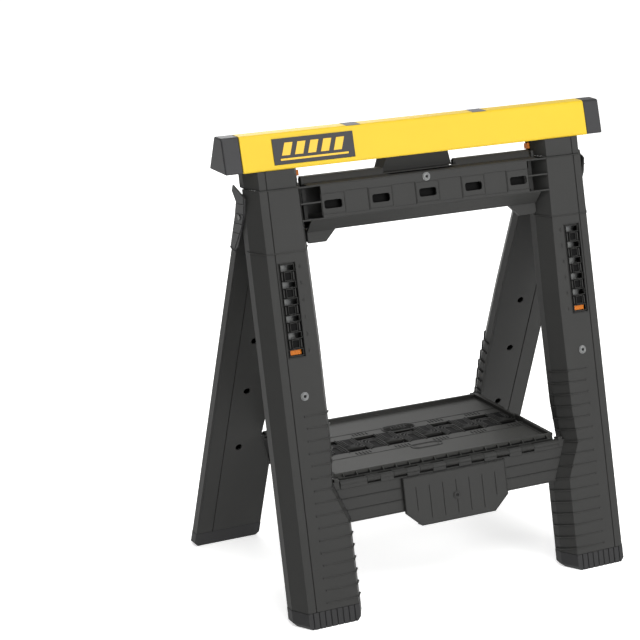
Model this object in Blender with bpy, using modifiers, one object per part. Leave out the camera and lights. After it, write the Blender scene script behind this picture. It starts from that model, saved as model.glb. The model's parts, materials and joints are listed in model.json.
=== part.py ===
"""Folding sawhorse with a height-adjustable beam and a two-leaf tray.

Two leaning frames meet at a hinge below the beam. The front frame carries the
posts of the beam. A tray of two leaves joins the frames lower down and folds up
between them. Metres, +Z up, the ground at z = 0, +X along the beam, -Y in front.
"""
import math

import bmesh
import bpy
from mathutils import Vector

# ---- driving dimensions -------------------------------------------------
BEAM_LENGTH = 0.686
BEAM_BOTTOM_Z = 0.6845
BEAM_HEIGHT = 0.0535
BEAM_Y = -0.0105              # the beam's middle line, seen from above
BEAM_BOTTOM_HALF = 0.029
BEAM_TOP_HALF = 0.0136
BEAM_WALL = 0.003
CAP_LENGTH = 0.030

FOOT_Y = 0.2155               # from the middle of the stance to an outer face at the ground
FRONT_LEAN = math.atan(0.252)
REAR_LEAN = math.atan(0.312)
LEG_DEPTH = 0.0404            # from the outer face to the inner plane
LEG_WALL = 0.003
LEG_OUTER_X = 0.293           # outer edge of a leg's face
SLANT = 0.0155                # how far the slanted wall runs out sideways
SLANT_DEPTH = 0.025           # and how deep it goes
LEG_TOP_Z = 0.657
LEG_FOOT_Z = 0.0253
FOOT_TOP_Z = 0.025
GROOVE_X = 0.278
GROOVE = 0.0018
GAP = 0.0003                  # between pieces that touch

HEIGHT_STEP = 0.026           # one slot of the height ladder, along the leg
HEIGHT_STEPS = 5
LADDER_X = (0.2465, 0.2755)
LADDER_LOW_Z = 0.4146         # height of the lowest slot
LADDER_RECESS = 0.0017
PIVOT_DROP = 0.003            # frame hinge below the line where the inner planes meet

HINGE_Z = 0.200               # axes of the two tray leaves
FRONT_HINGE_Y = -0.1415
REAR_HINGE_Y = 0.1205
TRAY_FLOOR = (0.202, 0.206)
TRAY_RIM_Z = 0.212
TRAY_HALF = 0.2035
RIM_BACK = 0.014              # from a leaf's axis to its end rim
RIM_RIBS = 17
FINGERS = 11
FINGER_EDGE = TRAY_HALF - 0.004
FINGER_TIP = 0.013            # how far a finger passes the middle
FINGER_ROOT = 0.029           # how far back the slot for it is cut
KNUCKLES = 8
KNUCKLE_R = 0.005
PIN_R = 0.002
SEGMENTS = 24

GRAPHITE = (0.055, 0.055, 0.054)
YELLOW = (0.90, 0.66, 0.035)
ORANGE = (0.63, 0.23, 0.015)
STEEL = (0.45, 0.45, 0.44)
DARK = (0.035, 0.035, 0.037)

# where a leg's inner edge lies, as (height, distance from the middle)
INNER_EDGE = ((0.0, 0.2043), (0.147, 0.2050), (0.203, 0.2290), (0.260, 0.2240),
              (0.420, 0.2230), (0.560, 0.2255), (0.657, 0.2270))


# ---- scene, materials and placing ---------------------------------------
for old in list(bpy.data.objects):
    bpy.data.objects.remove(old, do_unlink=True)

parts = bpy.data.collections.new("folding_sawhorse")
cutters = bpy.data.collections.new("cutters")
for group in (parts, cutters):
    bpy.context.scene.collection.children.link(group)

materials = {}
for label, colour, rough, metal in (
        ("graphite_plastic", GRAPHITE, 0.55, 0.0), ("yellow_plastic", YELLOW, 0.4, 0.0),
        ("orange_plastic", ORANGE, 0.45, 0.0), ("zinc_steel", STEEL, 0.35, 1.0),
        ("dark_plastic", DARK, 0.5, 0.0)):
    material = bpy.data.materials.new(label)
    material.use_nodes = True
    shader = material.node_tree.nodes["Principled BSDF"]
    shader.inputs["Base Color"].default_value = (*colour, 1.0)
    shader.inputs["Roughness"].default_value = rough
    shader.inputs["Metallic"].default_value = metal
    materials[label] = material


def holder(name, location, rotation=(0.0, 0.0, 0.0), shift=(0.0, 0.0, 0.0)):
    """An empty that pieces hang on, and the point of their own frame that lies on it."""
    empty = bpy.data.objects.new(name, None)
    empty.empty_display_size = 0.03
    empty.location = location
    empty.rotation_euler = rotation
    parts.objects.link(empty)
    return {"empty": empty, "shift": Vector(shift)}


def put(name, mesh, place, material="graphite_plastic"):
    """Makes a piece of a mesh; a material of None makes it a cutter."""
    piece = bpy.data.objects.new(name, mesh)
    if material is None:
        cutters.objects.link(piece)
        piece.hide_render = True
        piece.display_type = "WIRE"
    else:
        parts.objects.link(piece)
        mesh.materials.clear()
        mesh.materials.append(materials[material])
    piece.parent = place["empty"]
    piece.location = -place["shift"]
    return piece


def mesh_of(name, work):
    """Turns a finished bmesh into a mesh with its faces pointing out."""
    bmesh.ops.remove_doubles(work, verts=work.verts, dist=1e-6)
    bmesh.ops.recalc_face_normals(work, faces=work.faces)
    mesh = bpy.data.meshes.new(name)
    work.to_mesh(mesh)
    work.free()
    return mesh


def add_box(work, low, high):
    size = Vector(high) - Vector(low)
    made = bmesh.ops.create_cube(work, size=1.0)
    bmesh.ops.scale(work, vec=size, verts=made["verts"])
    bmesh.ops.translate(work, vec=(Vector(low) + Vector(high)) / 2, verts=made["verts"])


def add_rod(work, axis, start, end, across, radius, top_radius=None, segments=SEGMENTS):
    """A cylinder along X, Y or Z; across gives its place on the other two axes."""
    made = bmesh.ops.create_cone(work, cap_ends=True, segments=segments, radius1=radius,
                                 radius2=radius if top_radius is None else top_radius,
                                 depth=end - start)
    for vert in made["verts"]:
        x, y, z = vert.co
        along = z + (start + end) / 2
        if axis == "X":
            vert.co = (along, x + across[0], y + across[1])
        elif axis == "Y":
            vert.co = (y + across[0], along, x + across[1])
        else:
            vert.co = (x + across[0], y + across[1], along)


def boxes(name, spans, place, material="graphite_plastic"):
    """One mesh of boxes, each a (low corner, high corner) pair."""
    work = bmesh.new()
    for low, high in spans:
        add_box(work, low, high)
    return put(name, mesh_of(name, work), place, material)


def rods(name, axis, runs, place, material="graphite_plastic", segments=SEGMENTS):
    """One mesh of cylinders, each (start, end, across, radius)."""
    work = bmesh.new()
    for start, end, across, radius in runs:
        add_rod(work, axis, start, end, across, radius, segments=segments)
    return put(name, mesh_of(name, work), place, material)


def loft(name, rings, place, material="graphite_plastic"):
    """A closed solid through rings that have the same number of points."""
    work = bmesh.new()
    rows = [[work.verts.new(point) for point in ring] for ring in rings]
    count = len(rows[0])
    for lower, upper in zip(rows, rows[1:]):
        for i in range(count):
            j = (i + 1) % count
            work.faces.new((lower[i], lower[j], upper[j], upper[i]))
    work.faces.new(rows[0][::-1])
    work.faces.new(rows[-1])
    return put(name, mesh_of(name, work), place, material)


def plate(name, outline, start, end, axis, place, material="graphite_plastic"):
    """A flat outline made solid from start to end along X, Y or Z."""
    order = {"X": lambda a, b, t: (t, a, b), "Y": lambda a, b, t: (a, t, b),
             "Z": lambda a, b, t: (a, b, t)}[axis]
    rings = [[order(a, b, t) for a, b in outline] for t in (start, end)]
    return loft(name, rings, place, material)


def boolean(piece, tool, operation="DIFFERENCE"):
    """Cuts a piece with a tool or joins the tool to it, and keeps the tool as a cutter."""
    if tool.name not in cutters.objects:
        parts.objects.unlink(tool)
        cutters.objects.link(tool)
    tool.hide_render = True
    tool.display_type = "WIRE"
    step = piece.modifiers.new(tool.name, "BOOLEAN")
    step.operation = operation
    step.object = tool
    step.solver = "EXACT"
    return piece


def smooth(piece, degrees=30):
    piece.data.shade_smooth()
    piece.data.set_sharp_from_angle(angle=math.radians(degrees))
    return piece


def arc(centre, radius, first, last, steps):
    """Points on an arc, from one angle to another in degrees."""
    points = []
    for i in range(steps + 1):
        angle = math.radians(first + (last - first) * i / steps)
        points.append((centre[0] + radius * math.cos(angle),
                       centre[1] + radius * math.sin(angle)))
    return points


# ---- the frames' own coordinates ----------------------------------------
# In a frame, x runs along the beam, y is the depth behind the outer face and
# z runs up the slope from the ground.
def slope(height, depth, lean):
    """How far up the slope a point lies that is at this height and depth."""
    return (height + depth * math.sin(lean)) / math.cos(lean)


def inner_plane_y(height, lean, side):
    """The world y of a frame's inner plane; side is -1 in front and 1 behind."""
    return side * (FOOT_Y - LEG_DEPTH / math.cos(lean) - height * math.tan(lean))


meeting_z = ((2 * FOOT_Y - LEG_DEPTH * (1 / math.cos(FRONT_LEAN) + 1 / math.cos(REAR_LEAN)))
             / (math.tan(FRONT_LEAN) + math.tan(REAR_LEAN)))
PIVOT_Z = meeting_z - PIVOT_DROP
PIVOT_Y = (inner_plane_y(PIVOT_Z, FRONT_LEAN, -1) + inner_plane_y(PIVOT_Z, REAR_LEAN, 1)) / 2


def to_frame(y, z, lean, side):
    """World (y, z) as (depth, slope) in a frame."""
    run, rise = FOOT_Y + y * -side, z
    depth = run * math.cos(lean) - rise * math.sin(lean)
    up = run * math.sin(lean) + rise * math.cos(lean)
    return depth, up


pivot_front = to_frame(PIVOT_Y, PIVOT_Z, FRONT_LEAN, -1)
pivot_rear = to_frame(PIVOT_Y, PIVOT_Z, REAR_LEAN, 1)
front_turn = (-FRONT_LEAN, 0.0, 0.0)
rear_turn = (-REAR_LEAN, 0.0, math.pi)

front_frame = holder("front_frame_base", (0.0, -FOOT_Y, 0.0), front_turn)
rear_frame = holder("rear_frame_hinge", (0.0, PIVOT_Y, PIVOT_Z), rear_turn,
                    (0.0, pivot_rear[0], pivot_rear[1]))
upright = holder("ground", (0.0, 0.0, 0.0))
post_axis = to_frame(BEAM_Y, BEAM_BOTTOM_Z, FRONT_LEAN, -1)
beam_place = holder("beam_slide", (0.0, BEAM_Y, BEAM_BOTTOM_Z), (0.0, 0.0, 0.0),
                    (0.0, BEAM_Y, BEAM_BOTTOM_Z))
sliding = holder("post_slide", (0.0, BEAM_Y, BEAM_BOTTOM_Z), front_turn,
                 (0.0, post_axis[0], post_axis[1]))
front_tray_place = holder("front_tray_axis", (0.0, FRONT_HINGE_Y, HINGE_Z), (0.0, 0.0, 0.0),
                          (0.0, FRONT_HINGE_Y, HINGE_Z))
rear_tray_place = holder("rear_tray_axis", (0.0, REAR_HINGE_Y, HINGE_Z), (0.0, 0.0, 0.0),
                         (0.0, REAR_HINGE_Y, HINGE_Z))


# ---- legs ----------------------------------------------------------------
def inner_edge(height):
    """The distance of a leg's inner edge from the middle at a height."""
    for (low_z, low_x), (high_z, high_x) in zip(INNER_EDGE, INNER_EDGE[1:]):
        if height <= high_z:
            return low_x + (high_x - low_x) * (height - low_z) / (high_z - low_z)
    return INNER_EDGE[-1][1]


def leg_outline(height):
    """A leg's wall at a height: a channel that is open to the inner plane."""
    inner, outer = inner_edge(height), LEG_OUTER_X
    wall = LEG_WALL
    return [(inner, 0.0), (GROOVE_X, 0.0), (GROOVE_X, GROOVE * 0.7),
            (GROOVE_X + GROOVE, GROOVE * 0.7), (GROOVE_X + GROOVE, 0.0), (outer, 0.0),
            (outer + SLANT, SLANT_DEPTH), (outer + SLANT, LEG_DEPTH),
            (outer + SLANT - wall, LEG_DEPTH), (outer + SLANT - wall, SLANT_DEPTH + wall / 2),
            (outer - wall / 2, wall), (inner + wall / 2, wall),
            (inner - SLANT + wall, SLANT_DEPTH + wall / 2), (inner - SLANT + wall, LEG_DEPTH),
            (inner - SLANT, LEG_DEPTH), (inner - SLANT, SLANT_DEPTH)]


def rings_of(outline_at, heights, side, lean):
    """Level rings of an outline, on the +x or the -x side of a frame."""
    return [[(side * x, y, slope(height, y, lean)) for x, y in outline_at(height)]
            for height in heights]


def stations(low, high):
    return [low] + [z for z, _ in INNER_EDGE if low < z < high] + [high]


def cover_outline(height):
    """The flat cover in a leg's open side, with the same long groove."""
    low, high = inner_edge(height) - SLANT + LEG_WALL + GAP, LEG_OUTER_X + SLANT - LEG_WALL - GAP
    back, face = LEG_DEPTH - LEG_WALL, LEG_DEPTH
    return [(low, back), (high, back), (high, face), (GROOVE_X + GROOVE, face),
            (GROOVE_X + GROOVE, face - GROOVE * 0.7), (GROOVE_X, face - GROOVE * 0.7),
            (GROOVE_X, face), (low, face)]


def foot_outline(height):
    """The plug that closes a leg and stands on the ground, with cut-off lower corners."""
    cut = max(0.0, 0.006 - height)
    inner, outer = inner_edge(height) + cut, LEG_OUTER_X - cut
    proud = 0.0005
    return [(inner - proud, -proud), (outer + proud, -proud),
            (outer + SLANT + proud, SLANT_DEPTH), (outer + SLANT + proud, LEG_DEPTH),
            (inner - SLANT - proud, LEG_DEPTH), (inner - SLANT - proud, SLANT_DEPTH)]


COVER_TOP_Z = 0.586
COVER_HOLE_X = 0.2525
COVER_HOLE_R = 0.0058
COVER_HOLE_HEIGHTS = (0.187, 0.294, 0.387)
LEG_SCREW = (0.2565, 0.348)
FOOT_GROOVE_X = (0.2135, 0.2855)
FOOT_GROOVES = 8
HINGE_BORE_R = 0.0043


def make_leg(kind, side_name, side, place, lean, top):
    """A leg's channel, its cover and its foot; side is the sign of x in the frame."""
    shell = loft(f"{kind}_leg_{side_name}",
                 rings_of(leg_outline, stations(LEG_FOOT_Z, top), side, lean), place)
    cover = loft(f"{kind}_leg_cover_{side_name}",
                 rings_of(cover_outline, stations(LEG_FOOT_Z, COVER_TOP_Z), side, lean), place)
    holes = rods(f"{kind}_cover_holes_{side_name}", "Y",
                 [(LEG_DEPTH - 0.01, LEG_DEPTH + 0.01,
                   (side * COVER_HOLE_X, slope(z, LEG_DEPTH, lean)), COVER_HOLE_R)
                  for z in COVER_HOLE_HEIGHTS], place, None, 16)
    boolean(cover, holes)
    foot = loft(f"{kind}_foot_{side_name}",
                rings_of(foot_outline, (0.0, 0.006, FOOT_TOP_Z), side, lean), place,
                "dark_plastic")
    first, last = FOOT_GROOVE_X
    spans = []
    for i in range(FOOT_GROOVES):
        x = side * (first + (last - first) * i / (FOOT_GROOVES - 1))
        spans.append(((x - 0.001, -0.004, -0.01), (x + 0.001, 0.0008, 0.06)))
    boolean(foot, boxes(f"{kind}_foot_grooves_{side_name}", spans, place, None))
    return shell


def box_x(side, low, high):
    """A pair of x values in rising order on the +x or the -x side."""
    return sorted((side * low, side * high))


for side_name, side in (("left", -1), ("right", 1)):
    shell = make_leg("front", side_name, side, front_frame, FRONT_LEAN, LEG_TOP_Z)
    # Above the hinge the straight flanges stop, and a boss holds the hinge pin.
    depth, up = pivot_front
    flange_low, flange_top = up - 0.003, slope(LEG_TOP_Z, LEG_DEPTH, FRONT_LEAN) + 0.01
    spans = []
    for low, high in ((0.190, 0.2159), (0.302, 0.320)):
        x0, x1 = box_x(side, low, high)
        spans.append(((x0, SLANT_DEPTH + 0.0016, flange_low), (x1, LEG_DEPTH + 0.01, flange_top)))
    boolean(shell, boxes(f"front_flange_cut_{side_name}", spans, front_frame, None))
    runs = []
    for low, high in ((0.2116, 0.2150), (0.3050, 0.3085)):
        x0, x1 = box_x(side, low, high)
        runs.append((x0, x1, (depth, up), 0.009))
    boolean(shell, rods(f"front_hinge_boss_{side_name}", "X", runs, front_frame, None), "UNION")
    bore_x = box_x(side, 0.195, 0.325)
    boolean(shell, rods(f"front_hinge_bore_{side_name}", "X",
                        [(bore_x[0], bore_x[1], (depth, up), HINGE_BORE_R)], front_frame, None))
    # The height ladder: a shallow frame with a row of slots.
    x0, x1 = box_x(side, *LADDER_X)
    first = slope(LADDER_LOW_Z, 0.0, FRONT_LEAN)
    ladder_top = first + HEIGHT_STEPS * HEIGHT_STEP
    boolean(shell, boxes(f"ladder_recess_{side_name}",
                         [((x0, -0.004, first - 0.0075), (x1, LADDER_RECESS, ladder_top + 0.0075))],
                         front_frame, None))
    spans = []
    for step in range(HEIGHT_STEPS + 1):
        z = first + step * HEIGHT_STEP
        s0, s1 = box_x(side, LADDER_X[0] + 0.0035, LADDER_X[1] - 0.0035)
        spans.append(((s0, -0.01, z - 0.0045), (s1, 0.01, z + 0.0045)))
    boolean(shell, boxes(f"ladder_slots_{side_name}", spans, front_frame, None))
    screw_x, screw_z = side * LEG_SCREW[0], slope(LEG_SCREW[1], 0.0, FRONT_LEAN)
    boolean(shell, rods(f"leg_screw_hole_{side_name}", "Y",
                        [(-0.01, 0.01, (screw_x, screw_z), 0.0023)], front_frame, None, 12))


def make_screw(name, x, face, z, length, place):
    """A pan-head screw with a socket, driven along the depth from the outer face."""
    head_r, head_h, shank_r = 0.0068, 0.0016, 0.002
    work = bmesh.new()
    add_rod(work, "Y", face - GAP - head_h, face - GAP, (x, z), head_r * 0.8, head_r, 20)
    head = put(name, mesh_of(name, work), place, "zinc_steel")
    shank = rods(f"{name}_shank", "Y", [(face - GAP - head_h / 2, face + length, (x, z), shank_r)],
                 place, None, 10)
    boolean(head, shank, "UNION")
    socket = rods(f"{name}_socket", "Y", [(face - 0.01, face - GAP - 0.0004, (x, z), 0.0022)],
                  place, None, 6)
    boolean(head, socket)
    return head


for side_name, side in (("left", -1), ("right", 1)):
    make_screw(f"leg_screw_{side_name}", side * LEG_SCREW[0], 0.0,
               slope(LEG_SCREW[1], 0.0, FRONT_LEAN), 0.0045, front_frame)


# ---- upper crossbar of the front frame ----------------------------------
CROSS_HALF = 0.2100
CROSS_FACE_Z = (0.6050, 0.6570)
CROSS_BOTTOM_Z = 0.5835
CROSS_DEPTH = 0.0285
CHAMFER_DEPTH = 0.019
LIP_HEIGHT = 0.009
POCKET_X = 0.1885
RIB = 0.0024
GUSSET = ((0.158, 0.5850), (0.1785, 0.5660), (0.2060, 0.5660), (0.2096, 0.5700), (0.2096, 0.5850))
GUSSET_DEPTH = (0.0205, 0.0275)


def level(points, lean):
    """(depth, height) pairs as (depth, slope) pairs."""
    return [(depth, slope(height, depth, lean)) for depth, height in points]


wall = 0.003
low, high = CROSS_FACE_Z
profile = level([(0.0, low), (CHAMFER_DEPTH, CROSS_BOTTOM_Z), (CROSS_DEPTH, CROSS_BOTTOM_Z),
                 (CROSS_DEPTH, CROSS_BOTTOM_Z + wall), (CHAMFER_DEPTH + 0.0012, CROSS_BOTTOM_Z + wall),
                 (wall, low + 0.0012), (wall, high - wall), (CROSS_DEPTH - wall, high - wall),
                 (CROSS_DEPTH - wall, CROSS_BOTTOM_Z + 0.025), (CROSS_DEPTH, CROSS_BOTTOM_Z + 0.025),
                 (CROSS_DEPTH, high + LIP_HEIGHT), (CROSS_DEPTH - 0.008, high + LIP_HEIGHT),
                 (CROSS_DEPTH - 0.011, high), (0.0, high)], FRONT_LEAN)
crossbar = plate("front_crossbar", profile, -CROSS_HALF, CROSS_HALF, "X", front_frame)
SLOT_X = [i * 0.0846 for i in (-2, -1, 0, 1, 2)]
SLOT_Z = 0.6265
slot_low = slope(SLOT_Z, 0.0, FRONT_LEAN) - 0.0068
for number, x in enumerate(SLOT_X):
    ends = [(x + 0.0122, slot_low + 0.0034), (x + 0.0122, slot_low + 0.0096),
            (x - 0.0122, slot_low + 0.0096), (x - 0.0122, slot_low + 0.0034)]
    corners = []
    for end, first in zip(ends, (-90, 0, 90, 180)):
        corners += arc(end, 0.0034, first, first + 90, 3)
    boolean(crossbar, plate(f"crossbar_slot_{number}", corners, -0.01, 0.012, "Y", front_frame,
                            None))
# Shallow fields between the slots, and open pockets by the legs.
field_low, field_high = slope(0.610, 0.0, FRONT_LEAN), slope(0.644, 0.0, FRONT_LEAN)
boolean(crossbar, boxes("crossbar_fields", [((x + 0.022, -0.01, field_low),
                                             (x + 0.0626, 0.0009, field_high))
                                            for x in SLOT_X[:-1]], front_frame, None))
rib_levels = [slope(z, 0.0, FRONT_LEAN) for z in (0.6062, 0.6312, 0.6558)]
spans = []
for side in (-1, 1):
    x0, x1 = box_x(side, POCKET_X, CROSS_HALF + 0.01)
    for lower, upper in zip(rib_levels, rib_levels[1:]):
        spans.append(((x0, -0.01, lower + RIB / 2), (x1, 0.0145, upper - RIB / 2)))
boolean(crossbar, boxes("crossbar_pockets", spans, front_frame, None))
# Thin ribs run on to the leg's face, flush with it.
for side_name, side in (("left", -1), ("right", 1)):
    for number, z in enumerate(rib_levels):
        height = z * math.cos(FRONT_LEAN)
        reach = inner_edge(height) - 2 * GAP
        outline = [(side * (CROSS_HALF - 0.012), 0.0), (side * reach, 0.0),
                   (side * (reach - SLANT * 0.9), SLANT_DEPTH * 0.9),
                   (side * (CROSS_HALF - 0.012), SLANT_DEPTH * 0.9)]
        rib = plate(f"crossbar_rib_{side_name}_{number}", outline, z - RIB / 2 - 0.0001 * number,
                    z + RIB / 2 - 0.0001 * number, "Z", front_frame, None)
        boolean(crossbar, rib, "UNION")
    gusset_outline = [(side * x, slope(z, GUSSET_DEPTH[0], FRONT_LEAN)) for x, z in GUSSET]
    gusset = plate(f"crossbar_gusset_{side_name}", gusset_outline, *GUSSET_DEPTH, "Y",
                   front_frame, None)
    boolean(crossbar, gusset, "UNION")
    # An end plate closes the pockets down to the leg's slanted wall.
    x0, x1 = box_x(side, CROSS_HALF - 0.006, CROSS_HALF + 0.0003)
    end_plate = boxes(f"crossbar_end_plate_{side_name}",
                      [((x0, 0.0212, rib_levels[0] - 0.0008), (x1, 0.0247, rib_levels[2] + 0.0006))],
                      front_frame, None)
    boolean(crossbar, end_plate, "UNION")
# The lip is open in the middle, where the beam's block comes down.
BLOCK_HALF = 0.0635
boolean(crossbar, boxes("crossbar_lip_gap",
                        [((-BLOCK_HALF - 0.003, 0.004, slope(high, 0.0, FRONT_LEAN) + 0.0062),
                          (BLOCK_HALF + 0.003, 0.06, slope(high, 0.0, FRONT_LEAN) + 0.03))],
                        front_frame, None))
cross_screw_z = slope(0.650, 0.0, FRONT_LEAN)
boolean(crossbar, rods("crossbar_screw_hole", "Y", [(-0.01, 0.01, (0.0, cross_screw_z), 0.0023)],
                       front_frame, None, 12))
make_screw("crossbar_screw", 0.0, 0.0, cross_screw_z, 0.008, front_frame)


# ---- aprons, the lower crossbars that carry the tray --------------------
APRON_FACE = 0.020            # depth of the apron's face behind the legs' faces
APRON_Z = (0.140, 0.194)
APRON_BACK = 0.0375
EAR_ROOM = 0.0008
EAR_TOP_Z = 0.2045


def leg_space(height):
    """The space that a leg takes, with a little room, from its slanted wall outward."""
    inner, room = inner_edge(height), 0.0005
    return [(inner - room, -0.002), (0.35, -0.002), (0.35, 0.05), (inner - SLANT - room, 0.05),
            (inner - SLANT - room, SLANT_DEPTH)]


def knuckle_spans(count):
    """The x limits of a row of knuckles; the other piece has one fewer, in the spaces."""
    pitch = 2 * (TRAY_HALF - 0.012) / KNUCKLES
    width = pitch * 0.5 - 0.0006
    return [((i - (count - 1) / 2) * pitch - width / 2, (i - (count - 1) / 2) * pitch + width / 2)
            for i in range(count)]


def make_apron(kind, place, lean, side, hinge_y):
    """An apron with its knuckles; the face looks outward and the back is open."""
    low, high = APRON_Z
    profile = level([(APRON_FACE, low), (APRON_BACK, low), (APRON_BACK, low + 0.003),
                     (APRON_FACE + 0.003, low + 0.003), (APRON_FACE + 0.003, high - 0.003),
                     (APRON_BACK, high - 0.003), (APRON_BACK, high), (APRON_FACE, high)], lean)
    apron = plate(f"{kind}_apron", profile, -0.225, 0.225, "X", place)
    for sign in (-1, 1):
        # An ear stands beside the tray's corner and fills the way to the leg.
        x0, x1 = box_x(sign, TRAY_HALF + EAR_ROOM, 0.225)
        ear = [((x0, APRON_FACE + 0.0002, slope(high - 0.006, APRON_FACE, lean)),
                (x1, APRON_BACK - 0.0002, slope(EAR_TOP_Z, APRON_FACE, lean)))]
        boolean(apron, boxes(f"{kind}_apron_ear_{sign}", ear, place, None), "UNION")
        boolean(apron, loft(f"{kind}_apron_end_{sign}",
                            rings_of(leg_space, stations(low - 0.02, high + 0.02), sign, lean),
                            place, None))
    depth, up = to_frame(hinge_y, HINGE_Z, lean, side)
    spans = knuckle_spans(KNUCKLES)
    spans[0] = (-TRAY_HALF, spans[0][1])
    spans[-1] = (spans[-1][0], TRAY_HALF)
    webs, barrels = [], []
    base = slope(high, depth, lean) - 0.0022
    for start, end in spans:
        webs.append(((start, depth - 0.0038, base), (end, depth + 0.0038, up)))
        barrels.append((start - 0.00005, end + 0.00005, (depth, up), KNUCKLE_R))
    boolean(apron, boxes(f"{kind}_apron_webs", webs, place, None), "UNION")
    boolean(apron, rods(f"{kind}_apron_barrels", "X", barrels, place, None, 16), "UNION")
    boolean(apron, rods(f"{kind}_apron_bore", "X", [(-0.25, 0.25, (depth, up), PIN_R + GAP)],
                        place, None, 12))
    lines = []
    for height in (0.1585, 0.1765):
        z = slope(height, APRON_FACE, lean)
        lines.append(((-0.25, APRON_FACE - 0.004, z), (0.25, APRON_FACE + 0.0008, z + 0.0012)))
    boolean(apron, boxes(f"{kind}_apron_lines", lines, place, None))
    rods(f"{kind}_tray_pin", "X", [(-0.1975, 0.1975, (depth, up), PIN_R)], place,
         "zinc_steel", 12)
    return apron


front_apron = make_apron("front", front_frame, FRONT_LEAN, -1, FRONT_HINGE_Y)
make_apron("rear", rear_frame, REAR_LEAN, 1, REAR_HINGE_Y)

# The handle stands proud of the front apron and reaches below it.
HANDLE_FACE = 0.0150
HANDLE_BACK = APRON_FACE - GAP
handle_outline = [(-0.095, 0.1925), (-0.095, 0.138), (-0.068, 0.115), (0.068, 0.115),
                  (0.095, 0.138), (0.095, 0.1925)]
handle = plate("apron_handle", [(x, slope(z, HANDLE_FACE, FRONT_LEAN)) for x, z in handle_outline],
               HANDLE_FACE, HANDLE_BACK, "Y", front_frame)
lip_low = slope(0.1152, HANDLE_FACE, FRONT_LEAN)
boolean(handle, boxes("handle_lip", [((-0.066, HANDLE_FACE + 0.001, lip_low),
                                      (0.066, 0.034, lip_low + 0.004))], front_frame, None), "UNION")
groove_low, groove_high = slope(0.124, HANDLE_FACE, FRONT_LEAN), slope(0.176, HANDLE_FACE, FRONT_LEAN)
spans = []
for i in range(7):
    x = (i - 3) * 0.0245
    low_end = groove_low + (0.016 if abs(i - 3) == 3 else 0.0)
    spans.append(((x - 0.0006, 0.0, low_end), (x + 0.0006, HANDLE_FACE + 0.0008, groove_high)))
boolean(handle, boxes("handle_grooves", spans, front_frame, None))
handle_screw_z = slope(0.152, HANDLE_FACE, FRONT_LEAN)
boolean(handle, rods("handle_screw_hole", "Y", [(0.0, 0.05, (0.0, handle_screw_z), 0.0023)],
                     front_frame, None, 12))
boolean(front_apron, rods("apron_screw_hole", "Y", [(0.01, 0.05, (0.0, handle_screw_z), 0.0023)],
                          front_frame, None, 12))
make_screw("handle_screw", 0.0, HANDLE_FACE, handle_screw_z, 0.012, front_frame)


# ---- rear frame ----------------------------------------------------------
REAR_LEG_TOP = 0.600
for side_name, side in (("left", 1), ("right", -1)):
    make_leg("rear", side_name, side, rear_frame, REAR_LEAN, REAR_LEG_TOP)

rear_low, rear_high = 0.5745, 0.606
rear_profile = level([(0.004, rear_low), (0.037, rear_low), (0.037, rear_low + wall),
                      (0.007, rear_low + wall), (0.007, rear_high - wall), (0.037, rear_high - wall),
                      (0.037, rear_high), (0.004, rear_high)], REAR_LEAN)
plate("rear_crossbar", rear_profile, -0.2066, 0.2066, "X", rear_frame)

# Cheeks beside the legs carry the hinge. The outer ones end in a hook.
depth, up = pivot_rear
for side_name, side in (("left", 1), ("right", -1)):
    body_low = up - 0.062
    hook = [(0.0262, body_low), (0.0400, body_low), (0.0505, up - 0.046), (0.0545, up - 0.010),
            (0.0545, up + 0.014), (0.0480, up + 0.036), (0.0430, up + 0.0375), (0.0060, up + 0.0375),
            (0.0060, up + 0.028), (0.0235, up + 0.018), (0.0262, up - 0.004)]
    outer = plate(f"hinge_cheek_outer_{side_name}", hook, *box_x(side, 0.3089, 0.3117), "X",
                  rear_frame, "dark_plastic")
    lug = ([(0.0262, up - 0.055), (0.0400, up - 0.055), (0.0400, up - 0.012)]
           + arc((depth, up), 0.0088, -60, 180, 12))
    inner = plate(f"hinge_cheek_inner_{side_name}", lug, *box_x(side, 0.2070, 0.2097), "X",
                  rear_frame, "dark_plastic")
    for cheek, label in ((outer, "outer"), (inner, "inner")):
        boolean(cheek, rods(f"cheek_bore_{label}_{side_name}", "X",
                            [(-0.35, 0.35, (depth, up), HINGE_BORE_R)], rear_frame, None))
    smooth(rods(f"hinge_pin_{side_name}", "X",
                [(*box_x(side, 0.2070, 0.3130), (depth, up), 0.004)], rear_frame, "zinc_steel"))


# ---- posts that carry the beam ------------------------------------------
POST_X = (0.240, 0.282)
POST_DEPTH = (0.013, 0.034)
POST_WALL = 0.002
POST_TOP_Z = 0.672
POST_BOTTOM_Z = 0.350
PAWL_X = (0.2515, 0.2705)
PAWL_MIDDLE_X = (PAWL_X[0] + PAWL_X[1]) / 2
ROD_X = 0.259
ROD_DEPTH = 0.029
TRIGGER_Z = (0.6668, 0.6758)
TRIGGER_END_X = 0.2095
NOTCH_X = (0.200, 0.2665)       # room for the trigger in the post and the shoulder
TRIGGER_TRAVEL = 0.006


def post_outline():
    """The post's channel, open towards the frame's inner plane."""
    x0, x1 = POST_X
    y0, y1 = POST_DEPTH
    w = POST_WALL
    return [(x0, y0), (x1, y0), (x1, y1), (x1 - w, y1), (x1 - w, y0 + w), (x0 + w, y0 + w),
            (x0 + w, y1), (x0, y1)]


def shoulder_outline(height):
    """The block between leg and beam, slightly inside the leg's outline."""
    inset = 0.0015
    inner, outer = inner_edge(LEG_TOP_Z) + inset, LEG_OUTER_X - inset
    return [(inner, inset), (GROOVE_X, inset), (GROOVE_X, inset + 0.0012),
            (GROOVE_X + GROOVE, inset + 0.0012), (GROOVE_X + GROOVE, inset), (outer, inset),
            (outer + SLANT - 0.001, SLANT_DEPTH), (outer + SLANT - 0.001, 0.0385),
            (inner - SLANT + 0.001, 0.0385), (inner - SLANT + 0.001, SLANT_DEPTH)]


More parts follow.
